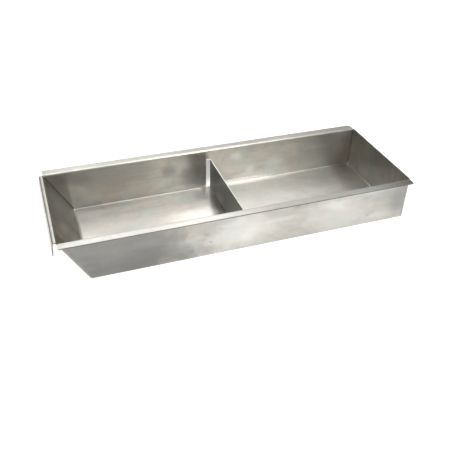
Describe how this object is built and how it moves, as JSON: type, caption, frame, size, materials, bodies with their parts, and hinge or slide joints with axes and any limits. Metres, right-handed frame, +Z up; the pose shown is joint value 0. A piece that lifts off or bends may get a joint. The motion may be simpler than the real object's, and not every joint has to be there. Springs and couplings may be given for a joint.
{
  "type": "trough feeder",
  "caption": "Folded stainless trough feeder with long side flanges, a sloped end that hooks over a rail, a square end and a lower divider across the middle.",
  "frame": {"origin": "centre of the flat underside: midway between the two end plates' inner faces at the rim, and midway between the two long walls", "axes": "+X along the trough from the sloped end with the hanging lip to the square end, +Y from the front wall to the back wall (the divider's tabs point to -X), +Z up"},
  "size_m": [0.6096, 0.23, 0.08],
  "materials": {
    "stainless_sheet": "satin stainless sheet with its grain along the trough and cloudy water marks",
    "ground_seam": "weld seam ground nearly flush, with fine cross scratches and faint heat colour",
    "weld_bead": "rippled fillet weld bead, left as welded"
  },
  "bodies": {
    "root": {"trough_channel": "stainless_sheet", "sloped_end_plate": "stainless_sheet", "square_end_plate": "stainless_sheet", "divider_plate": "stainless_sheet", "sloped_end_front_seam": "ground_seam", "sloped_end_floor_seam": "ground_seam", "sloped_end_back_seam": "ground_seam", "square_end_front_seam": "ground_seam", "square_end_floor_seam": "ground_seam", "square_end_back_seam": "ground_seam", "divider_front_foot_bead": "weld_bead", "divider_back_foot_bead": "weld_bead", "divider_front_edge_bead": "weld_bead", "divider_back_edge_bead": "weld_bead", "divider_front_stitch": "weld_bead", "divider_middle_stitch": "weld_bead", "divider_back_stitch": "weld_bead"}
  },
  "joints": []
}
